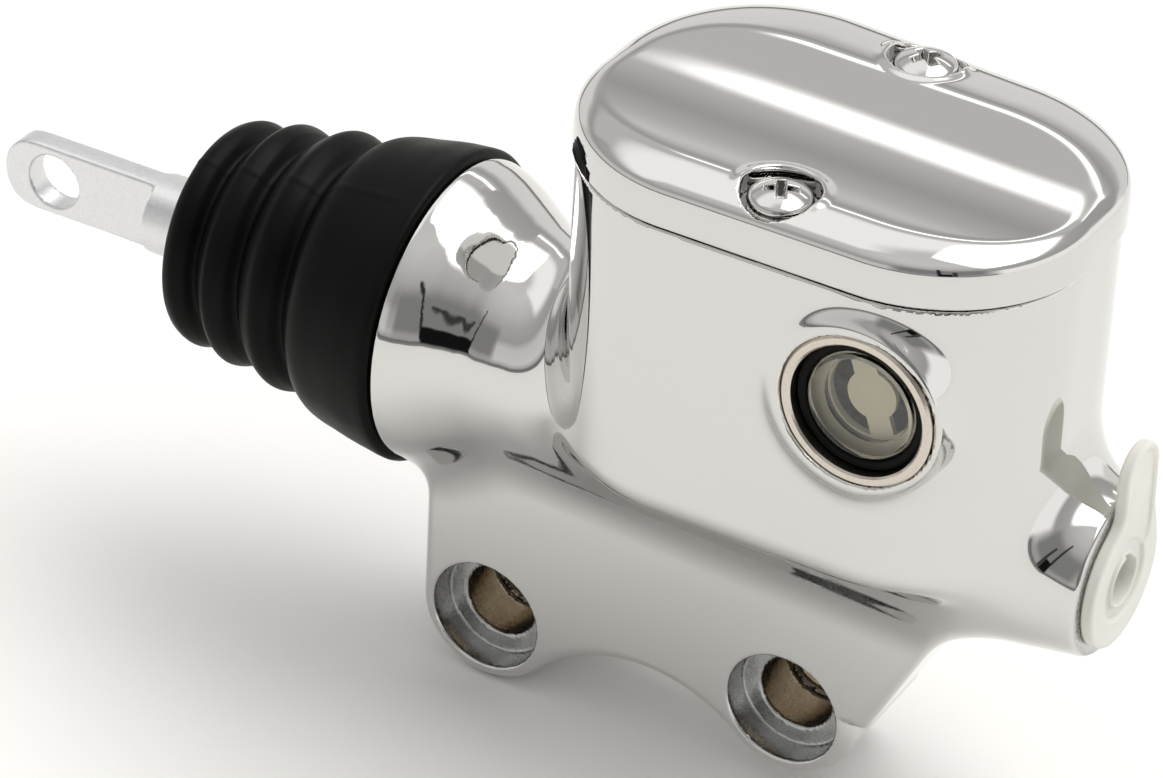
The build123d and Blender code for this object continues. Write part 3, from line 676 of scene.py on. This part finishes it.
def rubber(name):
    """Matt black rubber with a fine dusty grain."""
    m, tree, s = material(name)
    cloud, dust = noise(tree, 0.12, 3.0), noise(tree, 5.5, 2.0, 0.6)
    black = mixed(tree, cloud, (0.0015, 0.0015, 0.0016), (0.0045, 0.0044, 0.0042))
    tree.links.new(black, s.inputs["Base Color"])
    tree.links.new(spread(tree, cloud, 0.3, 0.7, 0.34, 0.5), s.inputs["Roughness"])
    s.inputs["Specular IOR Level"].default_value = 0.09
    bumped(tree, s, dust, 0.16, 0.06)
    return m


def clear(name, tint, rough, ior, transmission=1.0):
    """Clear or milky plastic."""
    m, tree, s = material(name)
    s.inputs["Transmission Weight"].default_value = transmission
    s.inputs["IOR"].default_value = ior
    n = noise(tree, 0.5, 2.0)
    tree.links.new(mixed(tree, n, [c * 0.97 for c in tint], tint), s.inputs["Base Color"])
    tree.links.new(spread(tree, n, 0.3, 0.7, rough * 0.7, rough * 1.3 + 0.01), s.inputs["Roughness"])
    return m


def assign(obj, mat):
    """Gives an object this one material."""
    obj.data.materials.clear()
    obj.data.materials.append(mat)


# ---- build -------------------------------------------------------------------------------------
CHROME = chrome("chrome")
CASTING = casting("chromed_casting")
POLISHED = chrome("polished_steel", (0.62, 0.61, 0.60))
RUBBER = rubber("black_rubber")
STEEL = metal("spring_steel", (0.34, 0.34, 0.34), (0.62, 0.61, 0.6), 0.3)
BEZEL = metal("bezel_metal", (0.50, 0.45, 0.39), (0.74, 0.69, 0.62), 0.22, 2.5)
SLEEVE = metal("sleeve_steel", (0.26, 0.20, 0.12), (0.62, 0.56, 0.46), 0.16, 3.0)
ROD = metal("plated_rod", (0.62, 0.62, 0.63), (0.86, 0.86, 0.87), 0.36, 2.2, 0.35)
PISTON = metal("anodised_piston", (0.30, 0.26, 0.17), (0.46, 0.41, 0.3), 0.35)
BEIGE = metal("reflector_plastic", (0.86, 0.80, 0.66), (0.93, 0.88, 0.75), 0.4, 1.0, 0.1, 0.0)
LENS = clear("clear_lens", (0.97, 0.96, 0.90), 0.02, 1.47)
MILKY = clear("milky_plastic", (0.95, 0.94, 0.88), 0.45, 1.35, 0.3)

coarse = 1.0


def stand_in(obj, node, body, mat):
    """Shows obj in place of a CAD node, on its body."""
    assign(obj, mat)
    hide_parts(node)
    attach(obj, body)


body = mesh_of("body_casting", body_field, BODY_LOW, BODY_HIGH, 0.5 * coarse)
stand_in(body, "body", "housing", CASTING)
cover = mesh_of("cover_casting", cover_field, LID_LOW - (0, 0, 0.3), LID_HIGH, 0.34 * coarse)
stand_in(cover, "cover", "cover_group", CHROME)
for label, sy, turn in (("front", SCREW_YS[0], 0.5), ("back", SCREW_YS[1], 0.95)):
    low = (TUB_X - SCREW_HEAD_R, sy - SCREW_HEAD_R, SCREW_LOW[2])
    high = (TUB_X + SCREW_HEAD_R, sy + SCREW_HEAD_R, SCREW_TOP)
    screw = mesh_of("cover_screw_" + label, screw_field(sy, turn), low, high, 0.16 * coarse)
    stand_in(screw, "cover_screws", "cover_group", POLISHED)
rod = mesh_of("push_rod_forging", rod_field, ROD_LOW, ROD_HIGH, 0.4 * coarse)
stand_in(rod, "pushrod", "rod", ROD)
plug = mesh_of("shipping_plug", plug_field, PLUG_LOW - (0, 1, 2), PLUG_HIGH, 0.17 * coarse)
stand_in(plug, "outlet_plug", "plug", MILKY)

boot = lathe("boot_bellows", boot_profile(), boot_shape)
assign(boot, RUBBER)
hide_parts("boot")
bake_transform(boot)

coil = spring_mesh()
assign(coil, STEEL)
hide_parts("return_spring")
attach(coil, "housing")
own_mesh(coil)

for node, mat in (("cover_diaphragm", RUBBER), ("port_shield", STEEL), ("sight_glass_bezel", BEZEL),
                  ("sight_glass_seal", RUBBER), ("sight_glass_lens", LENS), ("sight_glass_reflector", BEIGE),
                  ("stop_washer", STEEL), ("snap_ring", STEEL), ("piston", PISTON), ("secondary_cup", RUBBER),
                  ("cup_shim", STEEL), ("primary_cup", RUBBER), ("spring_retainer", STEEL),
                  ("mount_sleeves", SLEEVE)):
    assign(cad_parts[node], mat)

# ---- camera ------------------------------------------------------------------------------------
AZIMUTH, ELEVATION, ROLL = (math.radians(a) for a in (29.2, 34.12, 2.95))
DISTANCE = 0.7237
AIM = Vector((-0.0159, -0.014, 0.0348))
level_back = Vector((math.sin(AZIMUTH), -math.cos(AZIMUTH), 0))
back = level_back * math.cos(ELEVATION) + Vector((0, 0, math.sin(ELEVATION)))
right = Vector((math.cos(AZIMUTH), math.sin(AZIMUTH), 0))
up = back.cross(right)
right, up = right * math.cos(ROLL) + up * math.sin(ROLL), up * math.cos(ROLL) - right * math.sin(ROLL)
optics = bpy.data.cameras.new("camera")
optics.sensor_width = 36.0
optics.lens = 174.6
optics.shift_x, optics.shift_y = 0.0114, -0.0143
optics.clip_start, optics.clip_end = 0.01, 20
camera = bpy.data.objects.new("camera", optics)
bpy.context.scene.collection.objects.link(camera)
camera.matrix_world = Matrix((right, up, back)).transposed().to_4x4()
camera.matrix_world.translation = AIM + back * DISTANCE
bpy.context.scene.camera = camera
bpy.context.scene.view_settings.view_transform = "Standard"

# ---- floor, lamp and room ----------------------------------------------------------------------
FLOOR_Z = BODY_LOW[2] * MM - 0.0003
m, tree, s = material("floor")
s.inputs["Base Color"].default_value = (0.91, 0.905, 0.89, 1)
s.inputs["Roughness"].default_value = 0.9
bpy.ops.mesh.primitive_plane_add(size=6, location=(0, 0, FLOOR_Z))
floor = bpy.context.object
floor.name = "floor"
assign(floor, m)
floor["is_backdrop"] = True

key = bpy.data.lights.new("key", "AREA")
key.shape = "RECTANGLE"
key.size, key.size_y = 0.9, 0.9
key.energy = 3.2
lamp = bpy.data.objects.new("key", key)
bpy.context.scene.collection.objects.link(lamp)
lamp.location = (0.55, 0.48, 1.55)
lamp.rotation_euler = (-lamp.location).to_track_quat("-Z", "Y").to_euler()

# The room, as radiance by direction: a pale hall with a lit ceiling and a few screens.
# Angles are degrees, with the compass angle from +Y towards +X.
LEVELS = ((0, 0.30), (1.5, 0.16), (3, 0.5), (7, 0.78), (20, 0.72), (27, 0.46), (40, 0.52), (52, 0.66),
          (70, 0.8), (90, 0.75))                # radiance by elevation
SCREENS = (                                     # compass angles, elevations, radiance, softness
    ((-125, -8), (46, 76), 1.25, 7),            # lit ceiling to the left
    ((-14, 112), (50, 86), 3.4, 6),             # and brightest behind, to the right
    ((12, 112), (-4, 22), 1.2, 4),              # pale wall to the right
    ((-75, 20), (3, 21), 0.9, 3),               # pale wall behind
    ((-75, 8), (30, 44), 0.66, 3),              # its upper part, dimmer
    ((-29, 8), (32.9, 35.9), 2.3, 1.1),         # strip light across it
    ((118, 177), (5, 36), 0.28, 6),             # dim room in front
    ((140.5, 149.5), (1.5, 13), 0.008, 0.8),    # with a dark doorway
    ((147.3, 150), (12, 44), 0.03, 0.8),        # and two dark stands
    ((137.5, 140.5), (2, 27), 0.05, 0.8),
)

world = bpy.data.worlds.new("studio")
bpy.context.scene.world = world
world.use_nodes = True
sky = world.node_tree


def rises(value, low, high):
    """Smooth step from 0 at low to 1 at high."""
    r = add(sky, "ShaderNodeMapRange", interpolation_type="SMOOTHSTEP")
    r.inputs["From Min"].default_value, r.inputs["From Max"].default_value = low, high
    sky.links.new(value, r.inputs["Value"])
    return r.outputs["Result"]


def between(value, ends, soft):
    """1 between two values, with soft edges."""
    low, high = ends
    return calc(sky, "MULTIPLY", rises(value, low - soft, low + soft), rises(value, high + soft, high - soft))


def screen(light, compass, height, level, soft):
    """Puts a soft-edged card of one level in front of the light so far."""
    mask = calc(sky, "MULTIPLY", between(compass_angle, compass, soft), between(elevation, height, soft))
    seen = calc(sky, "MULTIPLY", light, calc(sky, "SUBTRACT", 1.0, mask))
    return calc(sky, "ADD", seen, calc(sky, "MULTIPLY", mask, level))


where = add(sky, "ShaderNodeTexCoord")
parts = add(sky, "ShaderNodeSeparateXYZ")
sky.links.new(where.outputs["Generated"], parts.inputs[0])
compass_angle = calc(sky, "DEGREES", calc(sky, "ARCTAN2", parts.outputs["X"], parts.outputs["Y"]))
elevation = calc(sky, "DEGREES", calc(sky, "ARCSINE", parts.outputs["Z"]))
ramp = add(sky, "ShaderNodeValToRGB")
sky.links.new(calc(sky, "DIVIDE", elevation, 90.0), ramp.inputs["Fac"])
stops = ramp.color_ramp.elements
stops.remove(stops[1])
for i, (at, level) in enumerate(LEVELS):
    stop = stops[0] if i == 0 else stops.new(at / 90)
    stop.position, stop.color = at / 90, (level, level, level, 1)
light = ramp.outputs["Color"]
for compass, height, level, soft in SCREENS:
    light = screen(light, compass, height, level, soft)
tint = add(sky, "ShaderNodeCombineColor")
for channel, share in (("Red", 1.0), ("Green", 0.993), ("Blue", 0.975)):
    sky.links.new(calc(sky, "MULTIPLY", light, share), tint.inputs[channel])
sky.links.new(tint.outputs[0], sky.nodes["Background"].inputs["Color"])

[[[float(c) for c in corner] for corner in box] for box in (cad_bounds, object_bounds())]
